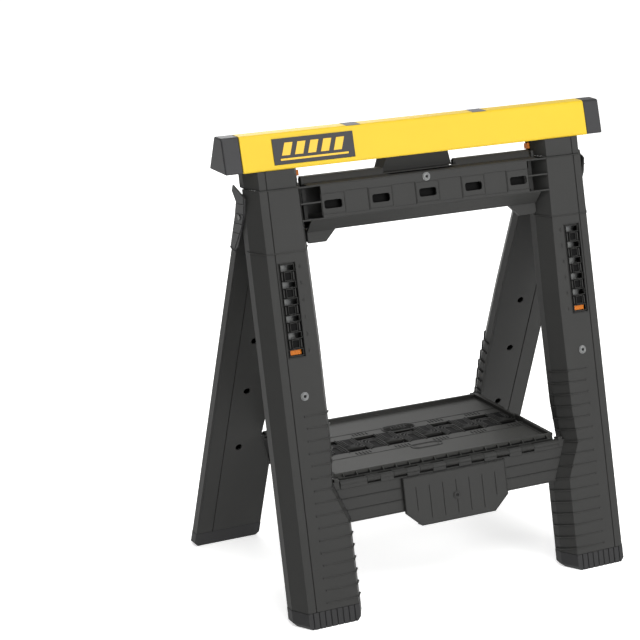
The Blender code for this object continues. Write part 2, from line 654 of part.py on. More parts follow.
pawl_z = slope(LADDER_LOW_Z, 0.0, FRONT_LEAN)
post_high = slope(POST_TOP_Z, 0.0, FRONT_LEAN)
post_low = slope(POST_BOTTOM_Z, 0.0, FRONT_LEAN)
trigger_low, trigger_high = (slope(z, ROD_DEPTH, FRONT_LEAN) for z in TRIGGER_Z)
shoulder_low = LEG_TOP_Z + GAP
for side_name, side in (("left", -1), ("right", 1)):
    post = plate(f"post_{side_name}", [(side * x, y) for x, y in post_outline()], post_low,
                 post_high, "Z", sliding, "zinc_steel")
    x0, x1 = box_x(side, 0.2545, 0.2675)
    boolean(post, boxes(f"post_window_{side_name}", [((x0, 0.010, pawl_z - 0.0035),
                                                      (x1, 0.018, pawl_z + 0.0035))],
                        sliding, None))
    x0, x1 = box_x(side, *NOTCH_X)
    boolean(post, boxes(f"post_notch_{side_name}", [((x0, 0.0245, trigger_low - 0.001),
                                                     (x1, 0.040, post_high + 0.01))],
                        sliding, None))
    shoulder = loft(f"shoulder_{side_name}",
                    rings_of(shoulder_outline, (shoulder_low, BEAM_BOTTOM_Z - GAP), side,
                             FRONT_LEAN), sliding)
    x0, x1 = box_x(side, POST_X[0] - 0.0004, POST_X[1] + 0.0004)
    boolean(shoulder, boxes(f"shoulder_pocket_{side_name}",
                            [((x0, POST_DEPTH[0] - 0.0004, post_low),
                              (x1, 0.0344, post_high + 0.001))], sliding, None))
    x0, x1 = box_x(side, *NOTCH_X)
    boolean(shoulder, boxes(f"shoulder_slot_{side_name}",
                            [((x0, 0.0252, post_low),
                              (x1, 0.0366, trigger_high + TRIGGER_TRAVEL + 0.0006))],
                            sliding, None))
    # A collar in the leg's mouth guides the post, and a shoe guides its lower end.
    collar_high, collar_low = slope(0.6515, 0.0, FRONT_LEAN), slope(0.6375, 0.0, FRONT_LEAN)
    collar = [(0.2330, 0.0036), (0.2885, 0.0036), (0.3015, 0.0245), (0.3015, 0.0360),
              (0.2200, 0.0360), (0.2200, 0.0245)]
    x0, x1 = box_x(side, POST_X[0] - 0.0004, POST_X[1] + 0.0004)
    guide = plate(f"post_guide_{side_name}", [(side * x, y) for x, y in collar], collar_low,
                  collar_high, "Z", front_frame, "dark_plastic")
    boolean(guide, boxes(f"guide_hole_{side_name}",
                         [((x0, POST_DEPTH[0] - 0.0004, collar_low - 0.01),
                           (x1, POST_DEPTH[1] + 0.0004, collar_high + 0.01))], front_frame, None))
    shoe = plate(f"post_shoe_{side_name}", [(side * x, y) for x, y in
                                           ((0.2305, 0.0050), (0.2880, 0.0050), (0.2955, 0.0180),
                                            (0.2955, 0.0340), (0.2260, 0.0340), (0.2260, 0.0180))],
                 post_low - 0.020, post_low - GAP, "Z", sliding, "dark_plastic")
    plug_x = box_x(side, POST_X[0] + POST_WALL + GAP, POST_X[1] - POST_WALL - GAP)
    boolean(shoe, boxes(f"shoe_plug_{side_name}",
                        [((plug_x[0], POST_DEPTH[0] + POST_WALL + GAP, post_low - 0.004),
                          (plug_x[1], 0.0335, post_low + 0.012))], sliding, None), "UNION")

    # Trigger, its rod and its return spring.
    hand = holder(f"trigger_axis_{side_name}", (side * 0.235, BEAM_Y, 0.665), front_turn,
                  (side * 0.235, *to_frame(BEAM_Y, 0.665, FRONT_LEAN, -1)))
    x0, x1 = box_x(side, TRIGGER_END_X, 0.2640)
    boxes(f"trigger_{side_name}", [((x0, 0.0262, trigger_low), (x1, 0.0356, trigger_high))],
          hand, "orange_plastic")
    rods(f"trigger_rod_{side_name}", "Z",
         [(pawl_z - 0.006, trigger_low - GAP, (side * ROD_X, ROD_DEPTH), 0.0016)], hand,
         "zinc_steel", 10)
    coil_low, coil_high, turns = trigger_low - 0.026, trigger_low - 0.003, 6
    steps = turns * 12
    curve = bpy.data.curves.new(f"trigger_spring_{side_name}", "CURVE")
    curve.dimensions = "3D"
    curve.bevel_depth = 0.0004
    curve.bevel_resolution = 0
    curve.use_fill_caps = True
    line = curve.splines.new("POLY")
    line.points.add(steps)
    for i in range(steps + 1):
        turn = 2 * math.pi * turns * i / steps
        line.points[i].co = (side * ROD_X + 0.0034 * math.cos(turn), ROD_DEPTH + 0.0034 * math.sin(turn),
                             coil_low + (coil_high - coil_low) * i / steps, 1.0)
    wire = bpy.data.objects.new(f"wire_{side_name}", curve)
    cutters.objects.link(wire)
    bpy.context.view_layer.update()
    coil = bpy.data.meshes.new_from_object(wire.evaluated_get(bpy.context.evaluated_depsgraph_get()))
    bpy.data.objects.remove(wire, do_unlink=True)
    work = bmesh.new()
    work.from_mesh(coil)
    put(f"trigger_spring_{side_name}", mesh_of("coil", work), sliding, "zinc_steel")

    # The pawl shows in the lowest slot of the ladder.
    catch = holder(f"pawl_axis_{side_name}", (side * PAWL_MIDDLE_X, -FOOT_Y, 0.0), front_turn,
                   (side * PAWL_MIDDLE_X, 0.0, 0.0))
    x0, x1 = box_x(side, *PAWL_X)
    n0, n1 = box_x(side, 0.2560, 0.2660)
    pawl = boxes(f"pawl_{side_name}", [((x0, 0.0036, pawl_z - 0.0036), (x1, 0.0085, pawl_z + 0.0036))],
                 catch, "orange_plastic")
    boolean(pawl, boxes(f"pawl_neck_{side_name}", [((n0, 0.0075, pawl_z - 0.0025),
                                                    (n1, 0.0190, pawl_z + 0.0025))],
                        catch, None), "UNION")
    boolean(pawl, boxes(f"pawl_heel_{side_name}", [((n0 - 0.001, 0.0185, pawl_z - 0.0045),
                                                    (n1 + 0.001, 0.0205, pawl_z + 0.0045))],
                        catch, None), "UNION")


# ---- beam ----------------------------------------------------------------
def beam_section(inset):
    """The beam's outline in (y, z), with rounded upper corners."""
    bottom, top = BEAM_BOTTOM_Z + inset, BEAM_BOTTOM_Z + BEAM_HEIGHT - inset
    low_half, high_half = BEAM_BOTTOM_HALF - inset, BEAM_TOP_HALF - inset * 0.7
    radius = 0.005 if inset == 0 else 0.0025
    points = [(BEAM_Y - low_half, bottom), (BEAM_Y + low_half, bottom)]
    points += [(BEAM_Y + high_half - radius + x, top - radius + z)
               for x, z in arc((0.0, 0.0), radius, 10, 90, 4)]
    points += [(BEAM_Y - high_half + radius + x, top - radius + z)
               for x, z in arc((0.0, 0.0), radius, 90, 170, 4)]
    return points


half = BEAM_LENGTH / 2
body_half = half - CAP_LENGTH
beam = plate("beam", beam_section(0.0), -body_half, body_half, "X", beam_place, "yellow_plastic")
boolean(beam, plate("beam_hollow", beam_section(BEAM_WALL), -half, half, "X", beam_place, None))
for side_name, side in (("left", -1), ("right", 1)):
    cap = plate(f"end_cap_{side_name}", beam_section(0.0), *box_x(side, body_half + GAP, half), "X",
                beam_place, "dark_plastic")
    step = cap.modifiers.new("rounded", "BEVEL")
    step.width = 0.0018
    step.segments = 2
    step.limit_method = "ANGLE"
    step.angle_limit = math.radians(40)
    boolean(cap, plate(f"cap_plug_{side_name}", beam_section(BEAM_WALL + 0.0006),
                       *box_x(side, body_half - 0.014, body_half + 0.004), "X", beam_place, None),
            "UNION")
    x0, x1 = box_x(side, 0.102, 0.128)
    top = BEAM_BOTTOM_Z + BEAM_HEIGHT
    boolean(beam, boxes(f"pad_pocket_{side_name}",
                        [((x0, BEAM_Y - 0.0108, top - 0.0022), (x1, BEAM_Y + 0.0108, top + 0.01))],
                        beam_place, None))
    boxes(f"top_pad_{side_name}", [((x0 + GAP, BEAM_Y - 0.0105, top - 0.0019),
                                    (x1 - GAP, BEAM_Y + 0.0105, top))], beam_place, "dark_plastic")

# The marker plate lies in a shallow recess of the slanted front face.
PLATE_X = (-0.2595, -0.1195)
PLATE_Z = (0.0075, 0.0475)    # along the slanted face, from the beam's lower edge
face_tilt = math.atan((BEAM_BOTTOM_HALF - BEAM_TOP_HALF) / BEAM_HEIGHT)
face_place = holder("beam_front_face", (0.0, BEAM_Y - BEAM_BOTTOM_HALF, BEAM_BOTTOM_Z),
                    (-face_tilt, 0.0, 0.0))
boolean(beam, boxes("plate_recess", [((PLATE_X[0] - GAP, -0.01, PLATE_Z[0] - GAP),
                                      (PLATE_X[1] + GAP, 0.0010, PLATE_Z[1] + GAP))],
                    face_place, None))
boxes("marker_plate", [((PLATE_X[0], -0.0002, PLATE_Z[0]), (PLATE_X[1], 0.0007, PLATE_Z[1]))],
      face_place, "dark_plastic")

# A block under the middle of the beam rests on the crossbar.
block_low = LEG_TOP_Z + GAP
block = [(-BLOCK_HALF, block_low), (BLOCK_HALF, block_low), (BLOCK_HALF - 0.008, BEAM_BOTTOM_Z - GAP),
         (-BLOCK_HALF + 0.008, BEAM_BOTTOM_Z - GAP)]
plate("beam_block", block, -0.0225, 0.0045, "Y", beam_place)


# ---- tray leaves ---------------------------------------------------------
def finger_edges():
    """The x limits of each finger across the tray."""
    width = 2 * FINGER_EDGE / FINGERS
    return [(-FINGER_EDGE + i * width, -FINGER_EDGE + (i + 1) * width) for i in range(FINGERS)]


def make_leaf(kind, place, hinge_y, side, odd, grip):
    """A leaf from its hinge to its fingers; side is 1 if it reaches towards +y."""
    middle = (FRONT_HINGE_Y + REAR_HINGE_Y) / 2
    start = hinge_y + side * 0.0068
    root, tip = middle - side * FINGER_ROOT, middle + side * FINGER_TIP
    z0, z1 = TRAY_FLOOR
    edge = FINGER_EDGE
    outline = [(-edge, start), (-edge, root)]
    for i, (x0, x1) in enumerate(finger_edges()):
        if i % 2 == odd:
            x0, x1 = x0 + 0.0004, x1 - 0.0004
            if i:
                outline += [(x0, root), (x0, tip)]
            else:
                outline[-1] = (x0, tip)
                outline[0] = (x0, start)
            outline += [(x1, tip), (x1, root)] if i < FINGERS - 1 else [(x1, tip)]
    last_x = outline[-1][0] if odd == 0 else edge
    if odd:
        outline += [(edge, root)]
    outline += [(last_x, start)]
    leaf = plate(f"{kind}_tray", outline, z0, z1, "Z", place)
    rim_y = hinge_y + side * RIM_BACK
    # The front leaf's side rims run on outside the rear leaf's outer fingers, whose
    # own rims lie inside them, so that the two pass each other.
    inside = 0.0034 if odd else 0.0062
    far = middle - side * 0.005 if odd else root - side * 0.0004
    end_rim = sorted((rim_y, rim_y + side * 0.004))
    spans = [((-TRAY_HALF, end_rim[0], z0 + 0.0003), (TRAY_HALF, end_rim[1], TRAY_RIM_Z))]
    for sign in (-1, 1):
        x0, x1 = box_x(sign, TRAY_HALF - inside, TRAY_HALF)
        run = sorted((rim_y + side * 0.0035, far))
        spans.append(((x0, run[0], z0 + 0.0001), (x1, run[1], TRAY_RIM_Z + 0.00005)))
        x0, x1 = box_x(sign, edge - 0.0034 - 0.0004, edge - 0.0004)
        if odd:
            x0, x1 = box_x(sign, TRAY_HALF - 0.0062, TRAY_HALF - 0.0030)
        run = sorted((rim_y + side * 0.0035, root - side * 0.0092 if odd else tip))
        spans.append(((x0, run[0], z0 + 0.0002), (x1, run[1], TRAY_RIM_Z + 0.0001)))
    for number, span in enumerate(spans):
        boolean(leaf, boxes(f"{kind}_tray_rim_{number}", [span], place, None), "UNION")
    # Knuckles in the spaces between the apron's, each on a short web.
    webs, barrels = [], []
    for x0, x1 in knuckle_spans(KNUCKLES - 1):
        web = sorted((hinge_y, start + side * 0.003))
        webs.append(((x0, web[0], HINGE_Z + 0.0008), (x1, web[1], TRAY_FLOOR[1] - 0.0015)))
        barrels.append((x0 - 0.00005, x1 + 0.00005, (hinge_y, HINGE_Z), KNUCKLE_R))
    boolean(leaf, boxes(f"{kind}_tray_webs", webs, place, None), "UNION")
    boolean(leaf, rods(f"{kind}_tray_barrels", "X", barrels, place, None, 16), "UNION")
    boolean(leaf, rods(f"{kind}_tray_bore", "X", [(-0.25, 0.25, (hinge_y, HINGE_Z), PIN_R + GAP)],
                       place, None, 12))
    # Thin slanted ribs between the hinge and the end rim.
    work = bmesh.new()
    for i in range(RIM_RIBS):
        x = -0.190 + i * 0.380 / (RIM_RIBS - 1)
        y0, y1 = hinge_y + side * 0.0072, rim_y + side * 0.001
        rows = [[work.verts.new((x + t, y, z)) for y, z in
                 ((y0, z0 + 0.002), (y1, z0 + 0.002), (y1, TRAY_RIM_Z - 0.0004), (y0, z1 + 0.0006))]
                for t in (-0.0007, 0.0007)]
        for a in range(4):
            b = (a + 1) % 4
            work.faces.new((rows[0][a], rows[0][b], rows[1][b], rows[1][a]))
        work.faces.new(rows[0][::-1])
        work.faces.new(rows[1])
    boolean(leaf, put(f"{kind}_tray_ribs", mesh_of("ribs", work), place, None), "UNION")
    if grip:
        y, half_length, radius = grip
        oval = arc((half_length, y), radius, -90, 90, 8) + arc((-half_length, y), radius, 90, 270, 8)
        boolean(leaf, plate(f"{kind}_tray_hole", oval, z0 - 0.01, z1 + 0.01, "Z", place, None))
    return leaf


make_leaf("front", front_tray_place, FRONT_HINGE_Y, 1, 1, None)
make_leaf("rear", rear_tray_place, REAR_HINGE_Y, -1, 0, (0.0270, 0.016, 0.0125))

bpy.context.view_layer.update()
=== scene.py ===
"""The finished looks of a folding sawhorse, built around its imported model. Metres, +Z up."""
import json
import math

import bpy
from mathutils import Matrix, Vector

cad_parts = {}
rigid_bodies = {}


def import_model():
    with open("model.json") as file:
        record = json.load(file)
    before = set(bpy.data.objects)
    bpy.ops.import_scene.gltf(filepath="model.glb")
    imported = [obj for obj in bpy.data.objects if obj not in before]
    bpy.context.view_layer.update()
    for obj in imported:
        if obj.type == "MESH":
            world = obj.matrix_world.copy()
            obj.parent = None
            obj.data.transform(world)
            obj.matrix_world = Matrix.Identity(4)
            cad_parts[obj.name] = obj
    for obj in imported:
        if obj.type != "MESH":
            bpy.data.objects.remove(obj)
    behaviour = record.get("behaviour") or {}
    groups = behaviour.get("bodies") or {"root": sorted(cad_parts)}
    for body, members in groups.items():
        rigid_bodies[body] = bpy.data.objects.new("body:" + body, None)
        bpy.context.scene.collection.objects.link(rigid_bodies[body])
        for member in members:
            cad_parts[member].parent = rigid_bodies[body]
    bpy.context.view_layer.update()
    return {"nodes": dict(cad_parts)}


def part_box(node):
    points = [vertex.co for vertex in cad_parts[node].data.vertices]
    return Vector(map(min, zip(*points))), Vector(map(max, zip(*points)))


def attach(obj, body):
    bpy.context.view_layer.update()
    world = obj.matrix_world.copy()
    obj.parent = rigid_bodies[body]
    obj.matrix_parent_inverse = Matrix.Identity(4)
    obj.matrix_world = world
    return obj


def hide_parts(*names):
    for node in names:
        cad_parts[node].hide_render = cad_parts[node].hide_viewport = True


for leftover in list(bpy.data.objects):
    bpy.data.objects.remove(leftover, do_unlink=True)
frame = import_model()
nodes = frame["nodes"]


# ---- Legs, crossbars and aprons -------------------------------------------
# Hollow shells injection-moulded in glass-filled polypropylene and screwed together.
# They are nearly black and dull, from the fine spark-eroded grain of their mould.
def linear(code):
    """An sRGB hex colour as the linear values a shader takes."""
    parts = [int(code[i:i + 2], 16) / 255 for i in (1, 3, 5)]
    return (*[c / 12.92 if c <= 0.04045 else ((c + 0.055) / 1.055) ** 2.4 for c in parts], 1.0)


def add_node(owner, kind, settings=None, links=None):
    """Adds a node, sets its properties and inputs, and links inputs to other nodes' outputs."""
    tree = owner.node_tree
    node = tree.nodes.new(kind)
    for key, value in (settings or {}).items():
        if key in node.inputs:
            node.inputs[key].default_value = value
        else:
            setattr(node, key, value)
    for key, (source, output) in (links or {}).items():
        tree.links.new(source.outputs[output], node.inputs[key])
    return node


TONE_DRIFT = 9.0  # per metre, so the tone drifts over about 110 mm, as the melt flowed
PLASTIC_IOR = 1.49
SHEEN_CHANGE = 0.07


def moulded(name, light, dark, roughness, grain, depth, edge=0.0009, specular=0.5):
    """Moulded plastic between two tones, with the size and depth of its grain and its soft edges."""
    material = bpy.data.materials.new(name)
    material.use_nodes = True
    tree = material.node_tree
    shader = tree.nodes["Principled BSDF"]
    place = add_node(material, "ShaderNodeTexCoord")
    flow = add_node(material, "ShaderNodeTexNoise",
                    {"Scale": TONE_DRIFT, "Detail": 3.0, "Roughness": 0.55},
                    {"Vector": (place, "Object")})
    tone = add_node(material, "ShaderNodeMix", {"data_type": "RGBA"}, {"Factor": (flow, "Fac")})
    tone_out = next(s for s in tone.outputs if s.type == "RGBA")
    first_colour, second_colour = [s for s in tone.inputs if s.type == "RGBA"]
    first_colour.default_value = linear(dark)
    second_colour.default_value = linear(light)
    pits = add_node(material, "ShaderNodeTexNoise",
                    {"Scale": 1.0 / grain, "Detail": 2.0, "Roughness": 0.6},
                    {"Vector": (place, "Object")})
    worn = add_node(material, "ShaderNodeMapRange",
                    {"To Min": roughness - SHEEN_CHANGE, "To Max": roughness + SHEEN_CHANGE},
                    {"Value": (pits, "Fac")})
    rounded = add_node(material, "ShaderNodeBevel", {"samples": 4, "Radius": edge})
    surface = add_node(material, "ShaderNodeBump", {"Strength": 0.5, "Distance": depth},
                       {"Height": (pits, "Fac"), "Normal": (rounded, "Normal")})
    tree.links.new(tone_out, shader.inputs["Base Color"])
    tree.links.new(worn.outputs["Result"], shader.inputs["Roughness"])
    tree.links.new(surface.outputs["Normal"], shader.inputs["Normal"])
    shader.inputs["IOR"].default_value = PLASTIC_IOR
    shader.inputs["Specular IOR Level"].default_value = specular
    return material


def finish_nodes(names, material):
    """Gives carried-over pieces their material."""
    for name in names:
        slots = nodes[name].material_slots
        for slot in slots:
            slot.material = material
        if not slots:
            nodes[name].data.materials.append(material)


# Glass-filled polypropylene, spark-eroded: dark grey, dull, with almost no highlight.
# The real grain is about 0.3 mm, too fine to show here, so it is drawn at 1.2 mm.
polypropylene = moulded("graphite_polypropylene", "#2b2b2a", "#252524", 0.56, 0.0012, 0.00012,
                        specular=0.22)
SHELL_NODES = ["front_crossbar", "front_apron", "apron_handle", "beam_block", "rear_crossbar",
               "rear_apron"]
for side in ("left", "right"):
    SHELL_NODES += [f"front_leg_{side}", f"front_leg_cover_{side}", f"rear_leg_{side}",
                    f"rear_leg_cover_{side}", f"shoulder_{side}"]
finish_nodes(SHELL_NODES, polypropylene)


# ---- Beam, its lip and its end caps --------------------------------------
# The beam is a hollow moulding in yellow polypropylene with a rolled lip along its lower
# edges. The caps are dark mouldings pushed into its ends, with two soft pads on top.

# A hammered mould gives the yellow shallow dimples about 3 mm across and a broad sheen.
yellow = moulded("yellow_hammered_plastic", "#c7a91c", "#c1a117", 0.45, 0.0030, 0.00020, 0.0016,
                 specular=0.3)
finish_nodes(["beam"], yellow)
# Polypropylene from a smoother mould than the legs': darker, with a soft highlight.
cap_plastic = moulded("cap_polypropylene", "#252527", "#212122", 0.45, 0.0012, 0.00010, 0.0016,
                      specular=0.3)
finish_nodes(["end_cap_left", "end_cap_right"], cap_plastic)
# Moulded rubber: mid grey and dull.
pad_rubber = moulded("pad_rubber", "#6c6c70", "#57575b", 0.62, 0.0012, 0.00012, 0.0004, specular=0.3)
finish_nodes(["top_pad_left", "top_pad_right"], pad_rubber)


def pick(objects):
    """Selects these objects and nothing else."""
    bpy.ops.object.select_all(action="DESELECT")
    for item in objects:
        item.select_set(True)
    bpy.context.view_layer.objects.active = objects[0]


def bead(points, radius, closed=False):
    """A round bead along straight runs between points, as a mesh."""
    curve = bpy.data.curves.new("bead", "CURVE")
    curve.dimensions = "3D"
    curve.bevel_depth = radius
    curve.bevel_resolution = 1
    curve.use_fill_caps = not closed
    line = curve.splines.new("POLY")
    line.points.add(len(points) - 1)
    for target, point in zip(line.points, points):
        target.co = (*point, 1.0)
    line.use_cyclic_u = closed
    item = bpy.data.objects.new("bead", curve)
    bpy.context.scene.collection.objects.link(item)
    pick([item])
    bpy.ops.object.convert(target="MESH")
    return bpy.context.view_layer.objects.active


def assemble(name, items, material, body, place=Matrix.Identity(4)):
    """Joins items into one piece, settles it in its frame and fixes it to a body."""
    pick(items)
    if len(items) > 1:
        bpy.ops.object.join()
    piece = bpy.context.view_layer.objects.active
    piece.name = name
    piece.matrix_world = place
    bpy.ops.object.transform_apply(location=True, rotation=True, scale=True)
    piece.data.materials.clear()
    piece.data.materials.append(material)
    pick([piece])
    bpy.ops.object.shade_smooth_by_angle(angle=math.radians(40))
    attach(piece, body)
    return piece


beam_low, beam_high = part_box("beam")
LIP_R, LIP_END = 0.0015, 0.001
lip_z = beam_low.z + LIP_R * 0.8
lips = [bead([(beam_low.x + LIP_END, y, lip_z), (beam_high.x - LIP_END, y, lip_z)], LIP_R)
        for y in (beam_low.y + LIP_R * 0.9, beam_high.y - LIP_R * 0.9)]
assemble("beam_lip", lips, yellow, "beam")


# ---- Marker plate ---------------------------------------------------------
# A dark vinyl label let into the front of the beam, printed in yellow with a plain
# mark: slanted bars over a rule, no lettering.

# Smooth vinyl: nearly black, with a clearer sheen than the mouldings.
label_vinyl = moulded("label_vinyl", "#232325", "#1f1f21", 0.40, 0.0020, 0.00004, 0.0004, specular=0.3)
finish_nodes(["marker_plate"], label_vinyl)
# Screen-printed ink, a little duller than the beam's yellow.
print_ink = moulded("yellow_print", "#cfa71c", "#c9a018", 0.45, 0.0020, 0.00003, 0.0002)


def block(low, high, edge=0.0004, segments=2):
    """A bar with rounded edges between two corners."""
    bpy.ops.object.select_all(action="DESELECT")
    centre = [(a + b) / 2 for a, b in zip(low, high)]
    bpy.ops.mesh.primitive_cube_add(size=1.0, location=centre)
    item = bpy.context.view_layer.objects.active
    item.scale = [b - a for a, b in zip(low, high)]
    bpy.ops.object.transform_apply(location=True, rotation=True, scale=True)
    bpy.ops.object.mode_set(mode="EDIT")
    bpy.ops.mesh.bevel(offset=edge, segments=segments, affect="EDGES")
    bpy.ops.object.mode_set(mode="OBJECT")
    return item


plate_low, plate_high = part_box("marker_plate")
PLATE_THICKNESS = 0.0009
plate_tilt = math.degrees(math.atan2(plate_high.y - plate_low.y - PLATE_THICKNESS,
                                     plate_high.z - plate_low.z))
plate_face = Matrix.Translation((plate_low.x, plate_low.y, plate_low.z)) @ \
    Matrix.Rotation(math.radians(-plate_tilt), 4, "X")
plate_width = plate_high.x - plate_low.x
plate_rise = (plate_high.z - plate_low.z) / math.cos(math.radians(plate_tilt))
INK_FRONT, INK_BACK, INK_EDGE = -0.00035, 0.0004, 0.0001
# Shares of the plate's width and rise, and how far a bar leans for its height.
BARS, BAR_START, BAR_PITCH, BAR_WIDTH = 5, 0.10, 0.160, 0.100
BAR_FOOT, BAR_TOP, BAR_LEAN = 0.34, 0.82, 0.35
RULE_START, RULE_END, RULE_FOOT, RULE_TOP = 0.08, 0.92, 0.15, 0.225
marks = []
for i in range(BARS):
    x = plate_width * BAR_START + i * plate_width * BAR_PITCH
    bar = block((x, INK_FRONT, plate_rise * BAR_FOOT),
                (x + plate_width * BAR_WIDTH, INK_BACK, plate_rise * BAR_TOP), INK_EDGE, 1)
    for vert in bar.data.vertices:
        vert.co.x += (vert.co.z - plate_rise * BAR_FOOT) * BAR_LEAN
    marks.append(bar)
marks.append(block((plate_width * RULE_START, INK_FRONT, plate_rise * RULE_FOOT),
                   (plate_width * RULE_END, INK_BACK, plate_rise * RULE_TOP), INK_EDGE, 1))
assemble("marker_print", marks, print_ink, "beam", plate_face)


# ---- Feet, post guides and hinge cheeks ------------------------------------
# The feet, and the guides and shoes that the posts run in, are moulded in a softer,
# darker plastic. The cheeks are thin moulded plates pinned beside the hinge.

# Thermoplastic elastomer: nearly black, dull, with well-rounded edges.
foot_plastic = moulded("foot_elastomer", "#222223", "#1c1c1d", 0.60, 0.0014, 0.00012, 0.0012,
                       specular=0.3)
# Polyamide from a smooth mould: as dark as the feet, with a little more sheen.
cheek_plastic = moulded("cheek_polyamide", "#222223", "#1d1d1e", 0.45, 0.0012, 0.00008, 0.0006,
                        specular=0.25)
for side in ("left", "right"):
    finish_nodes([f"front_foot_{side}", f"rear_foot_{side}", f"post_guide_{side}",
                  f"post_shoe_{side}"], foot_plastic)
    finish_nodes([f"hinge_cheek_outer_{side}", f"hinge_cheek_inner_{side}"], cheek_plastic)


# ---- Posts, rods, pins and springs ----------------------------------------
# The posts are cold-rolled steel strip, and the rods, pins and springs are steel wire.
# All have a thin zinc coat: grey and dull, with the fine lines of rolling along them.
ROLLING_LINES = (900.0, 900.0, 30.0)  # per metre: lines 1.1 mm apart and 33 mm long
SPANGLES = 160.0  # per metre: patches of the zinc about 6 mm across


def zinc_steel(name, light, dark, roughness):
    """Zinc-coated steel: a metal in two greys, duller along the lines of its rolling."""
    material = bpy.data.materials.new(name)
    material.use_nodes = True
    tree = material.node_tree
    shader = tree.nodes["Principled BSDF"]
    place = add_node(material, "ShaderNodeTexCoord")
    stretch = add_node(material, "ShaderNodeMapping", {"Scale": ROLLING_LINES},
                       {"Vector": (place, "Object")})
    lines = add_node(material, "ShaderNodeTexNoise", {"Scale": 1.0, "Detail": 2.0},
                     {"Vector": (stretch, "Vector")})
    spangle = add_node(material, "ShaderNodeTexVoronoi", {"Scale": SPANGLES},
                       {"Vector": (place, "Object")})
    tone = add_node(material, "ShaderNodeValToRGB", None, {"Fac": (spangle, "Distance")})
    tone.color_ramp.elements[0].color = linear(light)
    tone.color_ramp.elements[1].color = linear(dark)
    matt = add_node(material, "ShaderNodeMapRange",
                    {"To Min": roughness - 0.06, "To Max": roughness + 0.10},
                    {"Value": (lines, "Fac")})
    fine = add_node(material, "ShaderNodeBump", {"Strength": 0.3, "Distance": 0.00005},
                    {"Height": (lines, "Fac")})
    tree.links.new(tone.outputs["Color"], shader.inputs["Base Color"])
    tree.links.new(matt.outputs["Result"], shader.inputs["Roughness"])
    tree.links.new(fine.outputs["Normal"], shader.inputs["Normal"])
    shader.inputs["Metallic"].default_value = 1.0
    return material


post_steel = zinc_steel("zinc_coated_steel", "#7b7c7a", "#68696a", 0.55)
finish_nodes(["front_tray_pin", "rear_tray_pin"], post_steel)
for side in ("left", "right"):
    finish_nodes([f"post_{side}", f"hinge_pin_{side}", f"trigger_rod_{side}",
                  f"trigger_spring_{side}"], post_steel)


# ---- Catches and triggers -------------------------------------------------
# Small orange acetal mouldings, smooth and a little waxy. Their colour shows the hand
# what it has to move. The triggers hang on springs, and the catches follow them.
orange = moulded("orange_acetal", "#c46c05", "#b96203", 0.45, 0.0020, 0.00004, 0.0006,
                 specular=0.2)
finish_nodes([f"{kind}_{side}" for kind in ("pawl", "trigger") for side in ("left", "right")],
             orange)


# ---- Ribs and rings of the legs --------------------------------------------
# Thin ribs moulded across the lower half of each leg's face and down its slanted
# inner wall, a ring line round the leg above the ladder and a rim at its top.

# A frame's own axes: X across, Y into the leg from its face, Z up the slope.
LEAN = {"front": math.atan(0.252), "rear": math.atan(0.312)}
HALF_STANCE = 0.2155
FRONT_FRAME = Matrix.Translation((0, -HALF_STANCE, 0)) @ Matrix.Rotation(-LEAN["front"], 4, "X")
REAR_FRAME = Matrix.Translation((0, HALF_STANCE, 0)) @ Matrix.Rotation(math.pi, 4, "Z") @ \
    Matrix.Rotation(-LEAN["rear"], 4, "X")
FRAMES = {"front": FRONT_FRAME, "rear": REAR_FRAME}
# The height and distance from the middle of each corner of a leg's inner edge.
EDGE_LINE = ((0.0, 0.2043), (0.147, 0.2050), (0.203, 0.2290), (0.260, 0.2240),
             (0.420, 0.2230), (0.560, 0.2255), (0.657, 0.2270))
LEG_OUTER, SLANT, SLANT_DEPTH = 0.293, 0.0155, 0.025


def inner_edge(height):
    """How far from the middle a leg's inner edge lies at a height."""
    for (low, low_x), (high, high_x) in zip(EDGE_LINE, EDGE_LINE[1:]):
        if height <= high:
            return low_x + (high_x - low_x) * (height - low) / (high - low)
    return EDGE_LINE[-1][1]


def up_slope(height, depth, lean):
    """The distance up a leg of a point at a height and depth."""
    return (height + depth * math.sin(lean)) / math.cos(lean)


RIBS, RIB_LOW, RIB_PITCH = 16, 0.036, 0.0188
RIB_R, RIB_END_R = 0.0013, 0.0017
RIB_START, RIB_WAVER, RIB_PROUD, RIB_BACK = 0.2585, 0.0015, 0.0008, 0.0370
for kind in ("front", "rear"):
    lean = LEAN[kind]
    for side, sign in (("left", -1), ("right", 1)):
        across = sign if kind == "front" else -sign
        ribs = []
        for i in range(RIBS):
            height = RIB_LOW + i * RIB_PITCH
            s, edge_x = up_slope(height, 0.0, lean), inner_edge(height)
            start = RIB_START - RIB_WAVER * math.sin(i * 2.4)
            wall_x = edge_x - SLANT - RIB_PROUD
            # Along the face, over the edge, then down the slanted wall and back.
            ribs.append(bead([(across * start, 0.0006, s),
                              (across * (edge_x + 0.008), 0.0002, s),
                              (across * (edge_x - 0.0004), -RIB_PROUD, s),
                              (across * (edge_x - 0.0018), 0.0010, s),
                              (across * wall_x, SLANT_DEPTH - 0.0012, s),
                              (across * wall_x, RIB_BACK, s)], RIB_R))
            bpy.ops.object.select_all(action="DESELECT")
            bpy.ops.mesh.primitive_uv_sphere_add(radius=RIB_END_R, segments=10, ring_count=6,
                                                 location=(across * start, 0.0003, s))
            ribs.append(bpy.context.view_layer.objects.active)
        assemble(f"{kind}_leg_ribs_{side}", ribs, polypropylene, f"{kind}_frame",
                 FRAMES[kind])

